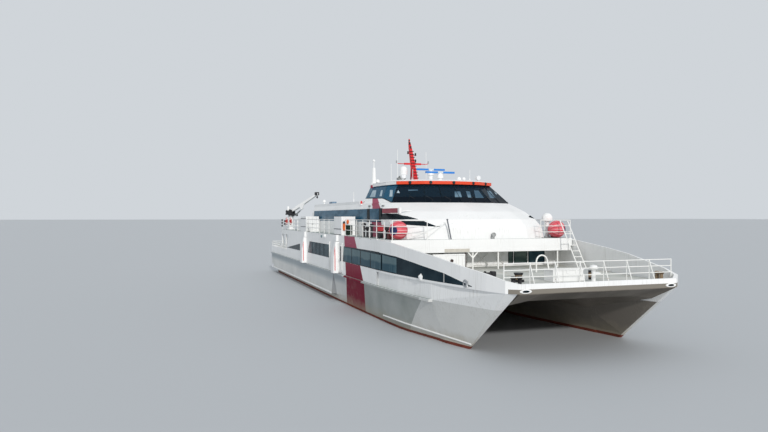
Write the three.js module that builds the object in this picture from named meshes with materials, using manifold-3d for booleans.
// High-speed passenger catamaran ferry, a 1:2 scale model of a 52 m by 13 m vessel.
// +X is forward, +Y is port, +Z is up. The origin is amidships on the centreline at the waterline.
// Every size below is in metres of the real ferry. M turns it into millimetres of the model.
import * as THREE from "three";
import { mergeVertices } from "three/addons/utils/BufferGeometryUtils.js";
import Module from "manifold-3d";

const wasm = await Module();
wasm.setup();

const M = 500;
const GAP = 0.0008;
const WALL = 0.14;

// Main levels and lengths
const STERN = -26;
const BOW = 26;
const DECK = 2.3;
const KNUCKLE = 3.13;
const FOREDECK = 3.25;
const CEILING = 4.62;
const UPPER = 5.1;
const ROOF = 7.62;
const SILL = 7.4;
const VISOR = 8.68;
const HALF_BEAM = 6.42;
const RAIL_BEAM = 6.5;
const HULL_BEAM = 6.3;
const HOUSE_HALF = 5.05;
const STEP = 13.25;
const HOUSE_AFT = -14.6;
const UPPER_AFT = -19.5;
const UPPER_FORE = 15.25;

const PAINT = { roughness: 0.35, metalness: 0 };
const MATERIALS = {
  white: { color: 0xf0f1ef, ...PAINT },
  grey: { color: 0xa9aaa6, ...PAINT },
  deck: { color: 0x9aa19d, roughness: 0.8, metalness: 0 },
  glass: { color: 0x12242e, roughness: 0.08, metalness: 0.1 },
  orange: { color: 0xe2401f, ...PAINT },
  black: { color: 0x1c1d1f, roughness: 0.6, metalness: 0 },
  blue: { color: 0x1f6fc4, ...PAINT },
  buoy: { color: 0xd8434a, roughness: 0.5, metalness: 0 },
  steel: { color: 0xb9bcbe, roughness: 0.35, metalness: 0.9 },
  seat: { color: 0x2a3038, roughness: 0.7, metalness: 0 },
};
for (const key of Object.keys(MATERIALS)) {
  MATERIALS[key] = new THREE.MeshStandardMaterial(MATERIALS[key]);
}

const ferry = new THREE.Group();

// Solids and booleans
function solid(geometry) {
  const loose = geometry.index ? geometry.toNonIndexed() : geometry;
  const bare = new THREE.BufferGeometry()
    .setAttribute("position", loose.getAttribute("position").clone())
    .scale(M, M, M);
  const merged = mergeVertices(bare, 1e-3);
  const vertProperties = merged.attributes.position.array;
  const triVerts = new Uint32Array(merged.index.array);
  const made = new wasm.Manifold(new wasm.Mesh({ numProp: 3, vertProperties, triVerts }));
  if (made.volume() > 0) return made;
  for (let i = 0; i < triVerts.length; i += 3) {
    [triVerts[i + 1], triVerts[i + 2]] = [triVerts[i + 2], triVerts[i + 1]];
  }
  return new wasm.Manifold(new wasm.Mesh({ numProp: 3, vertProperties, triVerts }));
}

function join(...solids) {
  return solids.flat().reduce((whole, next) => whole.add(next));
}

function cut(body, ...tools) {
  return tools.flat().reduce((rest, tool) => rest.subtract(tool), body);
}

function geometryOf(body) {
  const { vertProperties, triVerts } = body.getMesh();
  return new THREE.BufferGeometry()
    .setAttribute("position", new THREE.BufferAttribute(vertProperties, 3))
    .setIndex(new THREE.BufferAttribute(triVerts, 1));
}

// Slivers thinner than this many millimetres are merged away.
const SLIVER = 0.06;
function place(name, body, material, mirrored = false) {
  const mesh = new THREE.Mesh(geometryOf(body.simplify(SLIVER)), MATERIALS[material]);
  mesh.name = name;
  if (mirrored) mesh.scale.y = -1;
  ferry.add(mesh);
}

// A piece drawn on the port side, and its mirror image to starboard.
function pair(name, body, material) {
  place(name + "_port", body, material);
  place(name + "_starboard", body, material, true);
}

// Shapes
function box(x0, x1, y0, y1, z0, z1) {
  return solid(
    new THREE.BoxGeometry(x1 - x0, y1 - y0, z1 - z0)
      .translate((x0 + x1) / 2, (y0 + y1) / 2, (z0 + z1) / 2),
  );
}

// An outline of [u, v] points drawn out along an axis: u, v are y, z for "x", x, z for "y" and x, y for "z".
function slab(outline, axis, from, to) {
  const shape = new THREE.Shape(outline.map(([u, v]) => new THREE.Vector2(u, v)));
  const drawn = new THREE.ExtrudeGeometry(shape, { depth: to - from, bevelEnabled: false });
  const [x, y, z] = [[1, 0, 0], [0, 1, 0], [0, 0, 1]].map((v) => new THREE.Vector3(...v));
  const turn = new THREE.Matrix4();
  if (axis === "x") turn.makeBasis(y, z, x).setPosition(from, 0, 0);
  if (axis === "y") turn.makeBasis(x, z, y.clone().negate()).setPosition(0, to, 0);
  if (axis === "z") turn.setPosition(0, 0, from);
  return solid(drawn.applyMatrix4(turn));
}

// The triangles that close a ring of points, turned the way the ring runs
function lid(ring) {
  const points = ring.map((p) => new THREE.Vector3(...p));
  const normal = new THREE.Vector3();
  points.forEach((p, i) => normal.add(p.clone().cross(points[(i + 1) % points.length])));
  const size = normal.toArray().map(Math.abs);
  const [u, v] = [0, 1, 2].filter((axis) => axis !== size.indexOf(Math.max(...size)));
  const flat = ring.map((p) => new THREE.Vector2(p[u], p[v]));
  const turn = Math.sign(THREE.ShapeUtils.area(flat));
  return THREE.ShapeUtils.triangulateShape(flat, []).map(([a, b, c]) => {
    const same = Math.sign(THREE.ShapeUtils.area([flat[a], flat[b], flat[c]])) === turn;
    return same ? [a, b, c] : [a, c, b];
  });
}

// A closed skin through rings of [x, y, z] points, with the same number of points in each ring
function loft(rings) {
  const n = rings[0].length;
  const last = (rings.length - 1) * n;
  const faces = [
    ...lid(rings[0]).flat(),
    ...lid(rings[rings.length - 1]).flatMap(([a, b, c]) => [last + a, last + c, last + b]),
  ];
  for (let i = 0; i < last; i += n) {
    for (let j = 0; j < n; j++) {
      const next = (j + 1) % n;
      faces.push(i + j, i + n + j, i + n + next, i + j, i + n + next, i + next);
    }
  }
  const skin = new THREE.BufferGeometry()
    .setAttribute("position", new THREE.Float32BufferAttribute(rings.flat(2), 3))
    .setIndex(faces);
  return solid(skin);
}

// A round bar from point a to point b, tapering from radius r to radius tip.
function rod(a, b, r, sides = 6, tip = r) {
  const from = new THREE.Vector3(...a);
  const to = new THREE.Vector3(...b);
  const along = to.clone().sub(from);
  const bar = new THREE.CylinderGeometry(tip, r, along.length(), sides);
  const turn = new THREE.Quaternion().setFromUnitVectors(new THREE.Vector3(0, 1, 0), along.normalize());
  const middle = from.add(to).multiplyScalar(0.5);
  return solid(bar.applyQuaternion(turn).translate(middle.x, middle.y, middle.z));
}

function ball(x, y, z, r, around = 12, down = 8) {
  return solid(new THREE.SphereGeometry(r, around, down).translate(x, y, z));
}

// Demihulls: one ring of points a station, from the keel up the outer side and down the tunnel side.
const HAUNCH = 1.45;
const hullStations = [
  // x, keel z, bilge y, bilge z, chine y, chine z, top y, top z, tunnel y, tunnel chine y, tunnel bilge y
  [STERN, -0.95, 5.7, -0.7, 5.98, 0.45, HULL_BEAM, DECK, 2.9, 2.95, 3.25],
  [-8, -1.5, 5.7, -1, 5.98, 0.45, HULL_BEAM, DECK, 2.9, 2.95, 3.25],
  [STEP, -1.5, 5.4, -1, 5.95, 0.45, HULL_BEAM, DECK, 2.9, 3.2, 3.5],
  [STEP + 0.02, -1.5, 5.4, -1, 5.95, 0.45, HULL_BEAM, KNUCKLE, 2.9, 3.2, 3.5],
  [16.5, -1.5, 5.1, -0.95, 5.85, 0.5, 6.22, KNUCKLE, 3.2, 3.6, 3.85],
  [20.2, -1.5, 4.75, -0.9, 5.1, 0.38, 5.87, KNUCKLE, 3.55, 4.1, 4.25],
];
const RAIL_Z = 2.25;
const hullRings = hullStations.map(([x, keel, by, bz, cy, cz, ty, tz, iy, icy, iby]) => [
  [x, 4.48, keel],
  [x, by, bz],
  [x, cy, cz],
  [x, ty - 0.02, RAIL_Z],
  [x, ty, tz],
  [x, iy, tz],
  [x, iy, HAUNCH],
  [x, icy, 0.3],
  [x, iby, bz],
]);
// The raked stem opens from an edge at its foot to a chamfer at the bow corner.
hullRings.push([
  [20.5, 4.48, -1.3],
  [20.8, 4.52, -0.9],
  [22.2, 4.56, 0.28],
  [24.55, 4.68, RAIL_Z],
  [25.62, 4.7, KNUCKLE],
  [25.85, 4.24, KNUCKLE],
  [24.6, 4.16, 2.45],
  [22.1, 4.4, 0.25],
  [20.8, 4.44, -0.9],
]);
// The bulge on the after half ends in a lip at its foot and fades into the hull above it.
const bulgeRing = (x, foot, lip, top) => [
  [x, foot, 0.42], [x, lip, 0.6], [x, top, 2.2], [x, 6.05, DECK - 0.02], [x, 5.6, 1.2],
];
const bulge = loft([
  bulgeRing(STERN, 6.05, HALF_BEAM, HALF_BEAM), bulgeRing(2.4, 6.05, HALF_BEAM, HALF_BEAM),
  bulgeRing(2.9, 5.85, 6.12, 6.405), bulgeRing(6.5, 5.7, 5.9, 6.2),
]);
const rubRail = slab([[STERN, 6.1], [STERN, RAIL_BEAM], [14, RAIL_BEAM], [20.3, 6.03], [20.3, 5.8], [14, 6.1]], "z",
  2.16, 2.29);
// The transom is stepped forward under the stern, with the waterjet outlet and the two brackets of its nozzle.
const JET = { x: -24.4, y: 4.45, z: -0.15, pivot: -24.9, hinge: -25.1 };
const jetNotch = box(STERN - 0.1, JET.x, 2, 7, -2, 0.95);
const jetOutlet = rod([JET.x + 0.3, JET.y, JET.z], [JET.x - 0.22, JET.y, JET.z], 0.36, 16);
const jetBore = rod([JET.x + 0.2, JET.y, JET.z], [JET.x - 0.3, JET.y, JET.z], 0.27, 16);
const jetBrackets = [-0.44, 0.4].map((z) => box(JET.x - 0.62, JET.x + 0.1, JET.y - 0.1, JET.y + 0.1,
  JET.z + z, JET.z + z + 0.04));
pair("hull", cut(join(cut(join(loft(hullRings), bulge, rubRail), jetNotch), jetOutlet, jetBrackets), jetBore),
  "grey");

// Cross structure: tunnel roof, haunches and the brow under the bow
const bridgeStations = [
  // x, half width, roof z at the middle, haunch z, top z
  [STERN, 2.9, 1.9, HAUNCH, DECK],
  [STEP, 2.9, 1.9, HAUNCH, DECK],
  [STEP + 0.02, 2.9, 1.9, HAUNCH, KNUCKLE],
  [16.5, 3.2, 1.9, HAUNCH, KNUCKLE],
  [20.2, 3.55, 2.1, HAUNCH, KNUCKLE],
  [24.6, 4.06, 2.62, 2.44, KNUCKLE],
  [BOW - 0.02, 4.2, 3.1, 3.1, KNUCKLE],
];
place("bridge_deck", loft(bridgeStations.map(([x, y, roof, haunch, top]) => {
  const half = y - GAP;
  return [
    [x, half - 1.1, roof],
    [x, half, haunch],
    [x, half, top],
    [x, -half, top],
    [x, -half, haunch],
    [x, 1.1 - half, roof],
  ];
})), "grey");

// Foredeck plate and the bulwark round it, from the house forward
const bulwarkLine = [
  // x, y outside, top z
  [STEP, HALF_BEAM, UPPER - 0.02],
  [15.6, 6.36, 4.98],
  [19.2, 6.05, 4.62],
  [21, 5.8, 4.42],
  [22.8, 5.47, 4.14],
  [24.5, 5.06, 3.9],
  [25.62, 4.72, 3.68],
  [BOW, 4.26, 3.56],
];
const BULWARK = 0.12;
const inside = ([x, y], step = BULWARK) => [x - (x > 25 ? step : 0), y - step];
const deckEdge = bulwarkLine.map((p) => inside(p, BULWARK + 2 * GAP));
place("foredeck", slab(
  [...deckEdge, ...deckEdge.map(([x, y]) => [x, -y]).reverse()], "z", KNUCKLE + GAP, FOREDECK,
), "deck");
const bulwarkRing = ([x, y, top], side) => {
  const [ix, iy] = inside([x, y]);
  const low = KNUCKLE + GAP;
  return [[x, side * y, low], [x, side * y, top], [ix, side * iy, top], [ix, side * iy, low]];
};
const bulwark = loft([
  ...bulwarkLine.map((p) => bulwarkRing(p, 1)),
  ...bulwarkLine.map((p) => bulwarkRing(p, -1)).reverse(),
]);
// Dark panel along the bulwark, the forward run of the window band
const PANEL_DEPTH = 0.05;
const panelLine = [
  // x, bottom z, top z
  [STEP + 0.3, 3.24, 4.33],
  [16.3, 3.24, 4.23],
  [18.8, 3.24, 4],
  [21.4, 3.24, 3.72],
  [22.9, 3.24, 3.42],
  [23.6, 3.24, 3.27],
];
function sideAt(x) {
  const next = bulwarkLine.findIndex(([at]) => at >= x);
  const [x0, y0] = bulwarkLine[Math.max(next - 1, 0)];
  const [x1, y1] = bulwarkLine[Math.max(next, 1)];
  return y0 + ((x - x0) / (x1 - x0)) * (y1 - y0);
}
function panelBody(inner, outer, shrink) {
  const stops = bulwarkLine.map(([x]) => x).filter((x) => x > STEP + 0.4 && x < 23.5);
  const marks = [...new Set([...panelLine.map(([x]) => x), ...stops])].sort((a, b) => a - b);
  return loft(marks.map((x, k) => {
    const i = Math.max(panelLine.findIndex(([at]) => at >= x), 1);
    const [x0, b0, t0] = panelLine[i - 1];
    const [x1, b1, t1] = panelLine[i];
    const share = (x - x0) / (x1 - x0);
    const low = b0 + share * (b1 - b0) + shrink;
    const top = t0 + share * (t1 - t0) - shrink;
    const at = x + (k === 0 ? shrink : k === marks.length - 1 ? -shrink : 0);
    const y = sideAt(x);
    return [[at, y - inner, low], [at, y + outer, low], [at, y + outer, top], [at, y - inner, top]];
  }));
}
const panelCut = panelBody(PANEL_DEPTH + 2 * GAP, 0.3, 0);
const mirrorY = (body) => solid(geometryOf(body).scale(1 / M, -1 / M, 1 / M));
place("bow_bulwark", cut(bulwark, panelCut, mirrorY(panelCut)), "white");
pair("bow_panel", panelBody(PANEL_DEPTH, 0, 2 * GAP), "glass");

// Main deck house: four walls with their windows and doorways
const GLASS = 0.05;
const walls = cut(
  box(HOUSE_AFT, STEP - GAP, -HALF_BEAM, HALF_BEAM, DECK + GAP, CEILING - GAP),
  box(HOUSE_AFT + WALL, STEP - WALL, -HALF_BEAM + WALL, HALF_BEAM - WALL, DECK - 1, CEILING + 1),
);
const sideGlass = {
  saloon_glass_aft: [[-6.15, 3.27], [1.9, 3.27], [1.9, 4.3], [-5.4, 4.3]],
  saloon_glass_fore: [[5.55, 3.24], [STEP - 0.2, 3.24], [STEP - 0.2, 4.35], [5.85, 4.35]],
};
const ports = Object.values(sideGlass).map((outline) => slab(outline, "y", -8, 8));
const DOOR_TOP = 4.45;
const sideDoor = { x0: 4.75, x1: 5.4 };
const frontDoor = { y0: 3.1, y1: 4.16, z0: FOREDECK + 0.06 };
const aftDoor = { y0: -0.6, y1: 0.6 };
const doorways = [
  box(sideDoor.x0, sideDoor.x1, -8, 8, DECK + 0.12, DOOR_TOP),
  box(STEP - 1, STEP + 1, frontDoor.y0, frontDoor.y1, frontDoor.z0, DOOR_TOP),
  box(STEP - 1, STEP + 1, -frontDoor.y1, -frontDoor.y0, frontDoor.z0, DOOR_TOP),
  box(HOUSE_AFT - 1, HOUSE_AFT + 1, aftDoor.y0, aftDoor.y1, DECK + 0.12, DOOR_TOP),
];
// Fender pylons on the side plating, wide at the rubbing rail and narrow at the top
const pylons = [-6.95, 4.2].flatMap((x) => [1, -1].map((side) => {
  const section = (z, root, crest, out) => [
    [x - root, side * (HALF_BEAM - 0.05), z], [x + root, side * (HALF_BEAM - 0.05), z],
    [x + crest, side * (HALF_BEAM + out), z], [x - crest, side * (HALF_BEAM + out), z],
  ];
  return loft([section(2.31, 0.42, 0.36, 0.42), section(3.4, 0.42, 0.34, 0.4), section(4.61, 0.3, 0.24, 0.22)]);
}));
const frontLobby = box(STEP - 0.1, STEP + 0.75, -2.9, -0.8, FOREDECK + GAP, CEILING - GAP);
place("main_house", join(cut(walls, ports, doorways), pylons, frontLobby), "white");

// A pane fills its hole, set back from the outer face, with the clearance all round
function shrunk(outline, by) {
  const cx = outline.reduce((s, [u]) => s + u, 0) / outline.length;
  const cz = outline.reduce((s, [, v]) => s + v, 0) / outline.length;
  return outline.map(([u, v]) => [u - by * Math.sign(u - cx), v - by * Math.sign(v - cz)]);
}
const GLASS_Y = HALF_BEAM - 0.02;
for (const [name, outline] of Object.entries(sideGlass)) {
  pair(name, slab(shrunk(outline, 2 * GAP), "y", GLASS_Y - GLASS, GLASS_Y), "glass");
}

// Doors. Each fills its doorway with a running gap, hinged on a vertical edge.
const DOOR = 0.06;
const LEAF = 0.012;
pair("side_door", box(sideDoor.x0 + LEAF, sideDoor.x1 - GAP, HALF_BEAM - DOOR, HALF_BEAM, DECK + 0.12 + LEAF,
  DOOR_TOP - LEAF), "white");
pair("front_door", box(STEP - DOOR, STEP - GAP, frontDoor.y0 + GAP, frontDoor.y1 - LEAF, frontDoor.z0 + LEAF,
  DOOR_TOP - LEAF), "white");
place("aft_door", box(HOUSE_AFT, HOUSE_AFT + DOOR, aftDoor.y0 + LEAF, aftDoor.y1 - GAP, DECK + 0.12 + LEAF,
  DOOR_TOP - LEAF), "white");

// Upper deck: a deep slab whose edge is the fascia all round, over the houses and the aft deck
place("upper_deck", slab([
  [UPPER_AFT, -HALF_BEAM], [UPPER_AFT, HALF_BEAM], [STEP - GAP, HALF_BEAM], [STEP - GAP, 6.28],
  [UPPER_FORE, 6.2], [UPPER_FORE, -6.2], [STEP - GAP, -6.28], [STEP - GAP, -HALF_BEAM],
], "z", CEILING, UPPER), "white");

// Stern bulwark round the open aft deck, and the pillars that carry the upper deck's aft end
const STERN_TOP = 3.05;
const sternRing = cut(
  box(STERN, HOUSE_AFT - GAP, -HALF_BEAM, HALF_BEAM, DECK + GAP, STERN_TOP),
  box(STERN + 0.12, HOUSE_AFT + 1, -6.3, 6.3, DECK - 1, STERN_TOP + 1),
);
const PILLAR = 0.08;
const pillars = [-19.2, -17].flatMap((x) => [-6.33, 6.33].map((y) => rod([x, y, DECK + GAP], [x, y, CEILING - GAP],
  PILLAR, 8)));
const wings = [-HALF_BEAM, 6.3].map((y) => slab([
  [-16.5, STERN_TOP - 0.05], [HOUSE_AFT - GAP, STERN_TOP - 0.05], [HOUSE_AFT - GAP, CEILING - GAP], [-15.1, CEILING - GAP],
], "y", y, y + 0.12));
place("stern_bulwark", join(sternRing, pillars, wings), "white");

// Upper house: the passenger lounge with its rounded, sloping front
const loungeLevels = [
  // z, then x, y of four points from the shoulder round to the nose on the centreline
  [UPPER + GAP, 12.6, 5.15, 14.2, 4.8, 14.85, 3.2, 15.1, 0],
  [5.8, 12.4, 5.12, 14, 4.75, 14.75, 3.1, 15, 0],
  [6.3, 11.8, 5.08, 13.4, 4.65, 14.3, 3, 14.65, 0],
  [6.8, 10.8, 5, 12.3, 4.55, 13.25, 2.9, 13.7, 0],
  [SILL - GAP, 9, 4.7, 10.4, 4.4, 11.5, 2.5, 12, 0],
];
const LOUNGE_AFT = -10.2;
function loungeRing([z, ...points], inward = 0) {
  const half = [[LOUNGE_AFT + inward, (z > 7 ? 4.85 : HOUSE_HALF) - inward]];
  half.push([4.9, (z > 7 ? 4.85 : HOUSE_HALF) - inward]);
  for (let i = 0; i < points.length; i += 2) {
    half.push([points[i] - inward, Math.max(points[i + 1] - inward, 0)]);
  }
  const nose = half.pop();
  return [[...nose, z], ...half.reverse().map(([x, y]) => [x, y, z]),
    ...half.reverse().map(([x, y]) => [x, -y, z])];
}
const loungeSkin = loft(loungeLevels.map((level) => loungeRing(level)));
const hollowLevels = [[UPPER - 0.5, ...loungeLevels[0].slice(1)], ...loungeLevels.slice(0, -1),
  [SILL - 0.25, 9.2, 4.72, 10.7, 4.42, 11.8, 2.6, 12.3, 0]];
const loungeHollow = loft(hollowLevels.map((level) => loungeRing(level, WALL)));
const ROOF_STEP = 4.7;
const roofAft = box(LOUNGE_AFT, ROOF_STEP, -4.85, 4.85, SILL - 0.1, ROOF);
const loungeBand = [[-9.9, 6.12], [7.15, 6.12], [7.15, 7.02], [-9.6, 7.02]];
const loungeDoor = { y0: 1.8, y1: 2.7, z0: UPPER + 0.12, z1: 7.05 };
const loungeDoorway = box(LOUNGE_AFT - 1, LOUNGE_AFT + 1, loungeDoor.y0, loungeDoor.y1, loungeDoor.z0, loungeDoor.z1);
const stairwell = box(5.7, 7.1, -2.7, -1.5, SILL - 1, SILL + 1);
const afterStep = box(LOUNGE_AFT - 1, ROOF_STEP + GAP, -8, 8, UPPER - 1, ROOF + 1);
const beforeStep = box(ROOF_STEP - GAP, 20, -8, 8, UPPER - 1, ROOF + 1);
const lounge = cut(join(loungeSkin, roofAft), loungeHollow, slab(loungeBand, "y", -8, 8), loungeDoorway, stairwell);
place("upper_house", cut(lounge, beforeStep), "white");
place("lounge_front", cut(lounge, afterStep), "white");
place("lounge_door", box(LOUNGE_AFT, LOUNGE_AFT + DOOR, loungeDoor.y0 + LEAF, loungeDoor.y1 - GAP,
  loungeDoor.z0 + LEAF, loungeDoor.z1 - LEAF), "white");
pair("lounge_glass", slab(shrunk(loungeBand, 2 * GAP), "y", HOUSE_HALF - 0.09, HOUSE_HALF - 0.09 + GLASS), "glass");

// Wheelhouse: a band of raked glass between the sill and the roof
const sillLine = [[5.2, 4.78], [9, 4.62], [10.4, 4.38], [11.5, 2.45], [11.95, 0]];
const headLine = [[5.2, 3.95], [8, 3.85], [9.2, 3.52], [10.2, 2], [10.5, 0]];
function bandRing(line, z, inward) {
  const half = line.map(([x, y], i) => [x - (i > 1 ? inward : 0), Math.max(y - inward, 0)]);
  const nose = half.pop();
  return [[...nose, z], ...half.reverse().map(([x, y]) => [x, y, z]), ...half.reverse().map(([x, y]) => [x, -y, z])];
}
function between(share) {
  return sillLine.map(([x, y], i) => [x + share * (headLine[i][0] - x), y + share * (headLine[i][1] - y)]);
}
const heightAt = (share) => SILL + share * (VISOR - SILL);
const band = (low, high, inward) => loft([
  bandRing(between(low), heightAt(low), inward),
  bandRing(between(high), heightAt(high), inward),
]);
const glassOuter = band(GAP, 1 - GAP, 0);
const glassInner = band(-0.2, 1.2, GLASS);
const aftCut = box(4, 5.32, -6, 6, 7, 9);
place("wheelhouse_glass", cut(glassOuter, glassInner, aftCut), "glass");

const frameOuter = band(2 * GAP, 1 - 2 * GAP, GLASS + 0.04);
const frameHollow = band(-0.2, 1.2, GLASS + 0.16);
const mullion = (i, side) => {
  const inset = GLASS + 0.13;
  const end = (share) => {
    const [x, y] = between(share)[i];
    return [x - inset, side * Math.max(y - inset, 0), heightAt(share)];
  };
  return rod(end(0.04), end(0.96), 0.05, 4);
};
const mullions = [[1, 1], [1, -1], [2, 1], [2, -1], [3, 1], [3, -1], [4, 1]].map(([i, side]) => mullion(i, side));
const sillFrame = cut(frameOuter, frameHollow, box(5.33, 14, -6, 6, heightAt(0.08), heightAt(0.93)));
const aftWall = box(5.2, 5.31, -3.9, 3.9, SILL + 2 * GAP, VISOR - 2 * GAP);
place("wheelhouse_frame", join(sillFrame, mullions, aftWall), "white");

// Wheelhouse roof with the orange visor edge, and the block behind it that carries the mast
const visorLine = [[4.85, 4.02], [8.05, 3.95], [9.35, 3.62], [10.4, 2.05], [10.72, 0]];
const crownLine = [[5, 3.6], [7.9, 3.5], [8.9, 3.15], [9.8, 1.8], [10.1, 0]];
const ROOF_TOP = VISOR + 0.34;
const roofPlate = (lift) => loft([
  bandRing(visorLine, VISOR + lift, 0),
  bandRing(visorLine, VISOR + 0.22 + lift, 0),
  bandRing(crownLine, ROOF_TOP + lift, 0),
]);
const LAMP = { x: 8.6, y: 2.9, z: 9.28 };
const searchlights = [1, -1].map((side) => [
  rod([LAMP.x, side * LAMP.y, ROOF_TOP - 0.03], [LAMP.x, side * LAMP.y, LAMP.z], 0.05),
  rod([LAMP.x - 0.15, side * LAMP.y, LAMP.z], [LAMP.x + 0.17, side * LAMP.y, LAMP.z], 0.15, 10),
]);
place("wheelhouse_roof", join(roofPlate(0), searchlights.flat()), "white");
const DOME = { x: 3.4, y: -0.85, z: 10.15 };
place("mast_house", join(
  box(2.9, 4.85 - GAP, -2.2, 2.2, ROOF + GAP, VISOR),
  rod([DOME.x, DOME.y, VISOR - 0.02], [DOME.x, DOME.y, DOME.z - 0.3], 0.13, 8),
  rod([DOME.x, DOME.y, DOME.z - 0.4], [DOME.x, DOME.y, DOME.z], 0.3, 12),
  ball(DOME.x, DOME.y, DOME.z, 0.3, 12, 6),
), "white");

// Console and helm seats on one floor plate, seen through the wheelhouse glass
const CABIN_FLOOR = SILL - 0.1;
const consoleBody = slab([[9.2, SILL + 0.02], [10.2, SILL + 0.02], [10.2, 8.1], [9.9, 8.2], [9.2, 7.95]], "y", -2.2, 2.2);
const chair = (y) => [
  box(8, 8.5, y - 0.25, y + 0.25, 7.75, 7.9),
  box(7.9, 8.02, y - 0.25, y + 0.25, 7.8, 8.5),
  rod([8.25, y, SILL + 0.05], [8.25, y, 7.8], 0.06),
];
place("bridge_furniture", join(
  consoleBody, box(7.6, 9.8, -2.2, 2.2, SILL + GAP, SILL + 0.06), chair(-1), chair(1),
), "seat");

// Mast with its yard, rungs and lights
const MAST_BASE = [3.95, 0, VISOR + GAP];
const MAST_TOP = [2.5, 0, 12.4];
const alongMast = (share) => MAST_BASE.map((v, i) => v + share * (MAST_TOP[i] - v));
const legRing = (share, dx, dy) => {
  const [x, y, z] = alongMast(share);
  return [[x - dx, y - dy, z], [x + dx, y - dy, z], [x + dx, y + dy, z], [x - dx, y + dy, z]];
};
const yard = alongMast(0.53);
const mast = join(
  loft([legRing(0, 0.3, 0.17), legRing(0.55, 0.2, 0.13), legRing(0.85, 0.14, 0.1), legRing(1, 0.07, 0.07)]),
  box(yard[0] - 0.08, yard[0] + 0.08, -0.7, 0.7, yard[2] - 0.07, yard[2] + 0.07),
  rod([yard[0], -1.2, yard[2]], [yard[0], 1.2, yard[2]], 0.03),
  rod(alongMast(0.98), [2.42, 0, 12.72], 0.05),
);
place("mast", mast, "orange");

// Radar scanners on their pedestals, and the column at the roof's edge
const radars = [
  // name, x, scanner z
  ["aft", 6.76, 9.95],
  ["fore", 8.43, 9.63],
];
const SCANNER = { half: 1.1, tall: 0.13, deep: 0.11 };
for (const [where, x, z] of radars) {
  place("radar_pedestal_" + where, join(
    rod([x, 0, ROOF_TOP + GAP], [x, 0, z - 0.36], 0.16, 10),
    rod([x, 0, z - 0.4], [x, 0, z - 0.09], 0.26, 12, 0.2),
  ), "white");
  place("radar_scanner_" + where, join(
    box(x - SCANNER.deep, x + SCANNER.deep, -SCANNER.half, SCANNER.half, z - 0.065, z + SCANNER.tall - 0.065),
    rod([x, 0, z - 0.09 + GAP], [x, 0, z], 0.12, 10),
  ), "blue");
}
const COLUMN = [5.08, -3.86];
place("roof_column", cut(join(
  rod([...COLUMN, VISOR + 0.1], [...COLUMN, 10.1], 0.17, 10, 0.13),
  rod([...COLUMN, 10.05], [...COLUMN, 10.75], 0.035),
  ball(...COLUMN, 10.62, 0.1, 8, 6),
), roofPlate(GAP)), "white");

// Evacuation boxes on the upper deck edge
const boxes = [
  // name, x aft, x fore, y inside, y outside, top z
  ["aft", -9.4, -7.1, 5.15, 6.36, 6.5],
  ["fore", 2.95, 5.05, 5.3, 6.36, 6.48],
];
for (const [where, x0, x1, y0, y1, top] of boxes) {
  pair("evacuation_box_" + where, box(x0, x1, y0, y1, UPPER + GAP, top), "white");
}

// Guard rails: posts at every corner and between, with level bars at three heights
const BAR = 0.022;
const POST = 0.026;
function guard(path, heights, spacing) {
  const parts = [];
  const top = heights[heights.length - 1];
  const post = ([x, y, z]) => parts.push(rod([x, y, z], [x, y, z + top + BAR], POST));
  path.forEach((p, i) => {
    post(p);
    if (i === 0) return;
    const from = path[i - 1];
    const run = Math.hypot(p[0] - from[0], p[1] - from[1]);
    const count = Math.round(run / spacing);
    for (let k = 1; k < count; k++) post(from.map((v, a) => v + (k / count) * (p[a] - v)));
    for (const h of heights) {
      parts.push(rod([from[0], from[1], from[2] + h], [p[0], p[1], p[2] + h], BAR));
    }
  });
  return parts;
}
const RAIL_HEIGHTS = [0.4, 0.78, 1.15];
const onUpper = (x, y) => [x, y, UPPER + GAP];
pair("upper_rail_fore", join(guard(
  [onUpper(5.2, 6.1), onUpper(15.21, 6.1), onUpper(15.21, 3.9)], RAIL_HEIGHTS, 1.5,
)), "white");
pair("upper_rail_mid", join(guard(
  [onUpper(-6.9, 6.3), onUpper(2.8, 6.3)], RAIL_HEIGHTS, 1.6,
)), "white");
place("upper_rail_aft", join(guard(
  [onUpper(-9.6, -6.3), onUpper(-19.35, -6.3), onUpper(-19.35, 6.3), onUpper(-9.6, 6.3)], RAIL_HEIGHTS, 1.7,
)), "white");
// Across the bow, the posts between the end ones have a raking strut each, down to the bulwark's foot
const BOW_RAIL = { x: 25.3, half: 4.6, top: 1.16, bays: 7, rake: 0.45 };
const bowRailAt = (y) => [BOW_RAIL.x, y, FOREDECK + GAP];
const bowStruts = [-2.5, -1.5, -0.5, 0.5, 1.5, 2.5].map((bay) => {
  const y = (2 * BOW_RAIL.half * bay) / BOW_RAIL.bays;
  return rod([BOW_RAIL.x, y, FOREDECK + BOW_RAIL.top], [BOW_RAIL.x + BOW_RAIL.rake, y, FOREDECK + GAP + BAR], BAR);
});
place("bow_rail", join(guard(
  [bowRailAt(-BOW_RAIL.half), bowRailAt(BOW_RAIL.half)], [0.54, 0.85, BOW_RAIL.top],
  (2 * BOW_RAIL.half) / BOW_RAIL.bays,
), bowStruts), "white");

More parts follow.
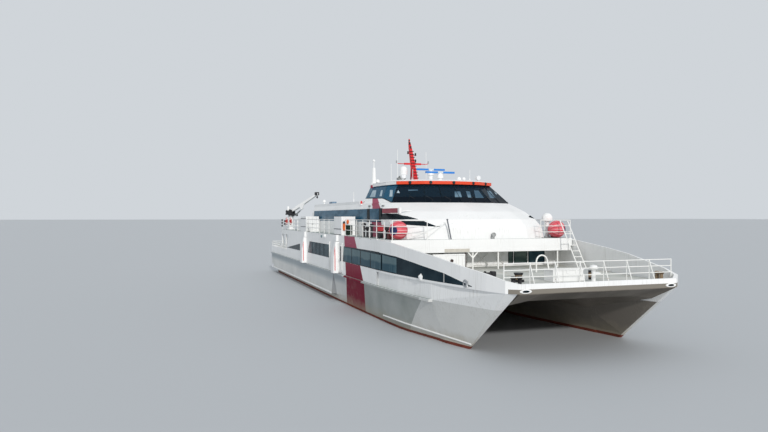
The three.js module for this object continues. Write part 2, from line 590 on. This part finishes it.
// Ladder from the foredeck up to the upper deck on the port side
const ladderTop = [15.31, 5.55, UPPER + 1.1];
const ladderFoot = [17.2, 5.55, FOREDECK + 0.04];
const LADDER = 0.28;
const stiles = [-LADDER, LADDER].map((side) => rod(ladderFoot.map((v, i) => v + (i === 1 ? side : 0)),
  ladderTop.map((v, i) => v + (i === 1 ? side : 0)), 0.035));
const rungs = [0.12, 0.24, 0.36, 0.48, 0.6, 0.72].map((share) => {
  const [x, y, z] = ladderFoot.map((v, i) => v + share * (ladderTop[i] - v));
  return rod([x, y - LADDER, z], [x, y + LADDER, z], 0.025);
});
const feet = [-LADDER, LADDER].map((side) => box(ladderFoot[0] - 0.06, ladderFoot[0] + 0.08,
  ladderFoot[1] + side - 0.04, ladderFoot[1] + side + 0.04, FOREDECK + GAP, FOREDECK + 0.09));
place("ladder", join(stiles, rungs, feet), "white");

// Mooring gear on the foredeck
const capstan = (x, y) => join(
  rod([x, y, FOREDECK + GAP], [x, y, 3.36], 0.28, 12),
  rod([x, y, 3.34], [x, y, 3.64], 0.15, 12),
  rod([x, y, 3.6], [x, y, 3.7], 0.21, 12, 0.24),
);
place("capstan_starboard", capstan(22.4, -2.1), "black");
place("capstan_port", capstan(22.4, 2.1), "black");
place("deck_locker", box(22.3, 23.1, 0, 1.05, FOREDECK + GAP, 3.8), "white");

// Round fenders hung at the front corners of the upper deck
pair("ball_fender", ball(14.6, 5.5, UPPER + GAP + 0.56, 0.56, 16, 12), "buoy");

// Deck crane on the starboard quarter: column, slewing head with its winch, boom and luffing cylinder
const CRANE = [-18.2, -5.6];
place("crane_column", join(
  rod([...CRANE, UPPER + GAP], [...CRANE, 6.6], 0.26, 14),
  rod([...CRANE, UPPER + GAP], [...CRANE, UPPER + 0.12], 0.42, 14),
), "white");
const heading = new THREE.Vector2(3.7, 2.13).normalize();
const outTo = (reach, z) => [CRANE[0] + reach * heading.x, CRANE[1] + reach * heading.y, z];
const across = (p, by) => [p[0] - by * heading.y, p[1] + by * heading.x, p[2]];
const craneBlock = (reach0, reach1, half, z0, z1) => {
  const at = (reach, side, z) => across(outTo(reach, z), side * half);
  return loft([z0, z1].map((z) => [at(reach0, -1, z), at(reach1, -1, z), at(reach1, 1, z), at(reach0, 1, z)]));
};
// Points of the crane's own plane, given as reach and height
const PIVOT = [0.18, 7.1];
const TIP = [4.3, 8.9];
const FOOT_PIN = [0.7, 6.64];
const LUG_PIN = [1.86, 7.36];
const bar = (a, b, r, sides, tip) => rod(outTo(...a), outTo(...b), r, sides, tip);
const pin = ([reach, z], from, to, r) => rod(across(outTo(reach, z), from), across(outTo(reach, z), to), r, 10);
const plate = (outline, from, to) => loft([from, to].map((side) => outline.map((p) => across(outTo(...p), side))));
const cheekLine = [[-0.2, 6.8], [0.35, 6.8], [0.38, 7.2], [0.1, 7.28], [-0.2, 7.1]];
const earLine = [[0.42, 6.69], [0.6, 6.54], [0.8, 6.54], [0.8, 6.72], [0.48, 6.83]];
place("crane_head", join(
  rod([...CRANE, 6.6 + GAP], [...CRANE, 6.85], 0.3, 14),
  craneBlock(-0.6, 0.5, 0.28, 6.68, 6.84),
  [cheekLine, earLine].flatMap((line) => [plate(line, -0.28, -0.2), plate(line, 0.2, 0.28)]),
  pin([-0.42, 7.02], -0.26, 0.26, 0.19),
), "black");
const alongBoom = (share, drop) => {
  const run = [TIP[0] - PIVOT[0], TIP[1] - PIVOT[1]];
  const length = Math.hypot(...run);
  return [PIVOT[0] + share * run[0] + (drop * run[1]) / length, PIVOT[1] + share * run[1] - (drop * run[0]) / length];
};
const boomSection = (share, half, tall) => [
  across(outTo(...alongBoom(share, tall)), -half), across(outTo(...alongBoom(share, -tall)), -half),
  across(outTo(...alongBoom(share, -tall)), half), across(outTo(...alongBoom(share, tall)), half),
];
const lugLine = [alongBoom(0.3, 0.05), alongBoom(0.5, 0.05), [LUG_PIN[0] + 0.1, LUG_PIN[1] - 0.06],
  [LUG_PIN[0] - 0.06, LUG_PIN[1] - 0.1]];
place("crane_boom", join(
  loft([boomSection(-0.03, 0.14, 0.1), boomSection(0.2, 0.14, 0.16), boomSection(0.95, 0.09, 0.1)]),
  pin(alongBoom(0.97, 0), -0.13, 0.13, 0.16),
  pin(PIVOT, GAP - 0.2, 0.2 - GAP, 0.06),
  plate(lugLine, -0.13, -0.041),
), "white");
// Luffing cylinder: a bored barrel pinned on the head, and its rod with an eye beside the boom's lug
const luffing = (share) => FOOT_PIN.map((v, i) => v + share * (LUG_PIN[i] - v));
place("crane_barrel", cut(
  join(bar(luffing(0.02), luffing(0.64), 0.085, 12), pin(FOOT_PIN, GAP - 0.2, 0.2 - GAP, 0.055)),
  bar(luffing(0.12), luffing(0.8), 0.037, 12),
), "steel");
place("crane_rod", join(bar(luffing(0.3), luffing(0.98), 0.036, 12), pin(LUG_PIN, -0.04, 0.04, 0.075)), "steel");

// Waterjets: a steering nozzle on each outlet, and its reversing bucket hinged on the nozzle
const nozzleBody = join(
  rod([-24.8, JET.y, JET.z], [-25.35, JET.y, JET.z], 0.34, 16, 0.28),
  rod([JET.pivot, JET.y, JET.z + GAP - 0.4], [JET.pivot, JET.y, JET.z + 0.4 - GAP], 0.06, 8),
  rod([JET.hinge, JET.y + GAP - 0.36, JET.z], [JET.hinge, JET.y + 0.36 - GAP, JET.z], 0.06, 8),
);
pair("jet_nozzle", cut(nozzleBody, rod([-24.7, JET.y, JET.z], [-25.5, JET.y, JET.z], 0.27, 16, 0.22)), "steel");
const arc = (r, from, to, steps) => Array.from({ length: steps + 1 }, (_, k) => {
  const angle = THREE.MathUtils.degToRad(from + (k / steps) * (to - from));
  return [JET.hinge - r * Math.cos(angle), JET.z + r * Math.sin(angle)];
});
const SCOOP = { low: 25, high: 100, inner: 0.5, outer: 0.55, half: 0.4 };
const scoop = [...arc(SCOOP.inner, SCOOP.low, SCOOP.high, 6), ...arc(SCOOP.outer, SCOOP.high, SCOOP.low, 6)];
const arm = [...arc(0.12, SCOOP.low + 180, SCOOP.high + 180, 4), ...arc(SCOOP.outer, SCOOP.low + 6, SCOOP.high - 6, 6)];
pair("jet_bucket", join(
  slab(scoop, "y", JET.y - SCOOP.half, JET.y + SCOOP.half),
  slab(arm, "y", JET.y - SCOOP.half, JET.y - 0.36),
  slab(arm, "y", JET.y + 0.36, JET.y + SCOOP.half),
), "steel");

export default ferry;
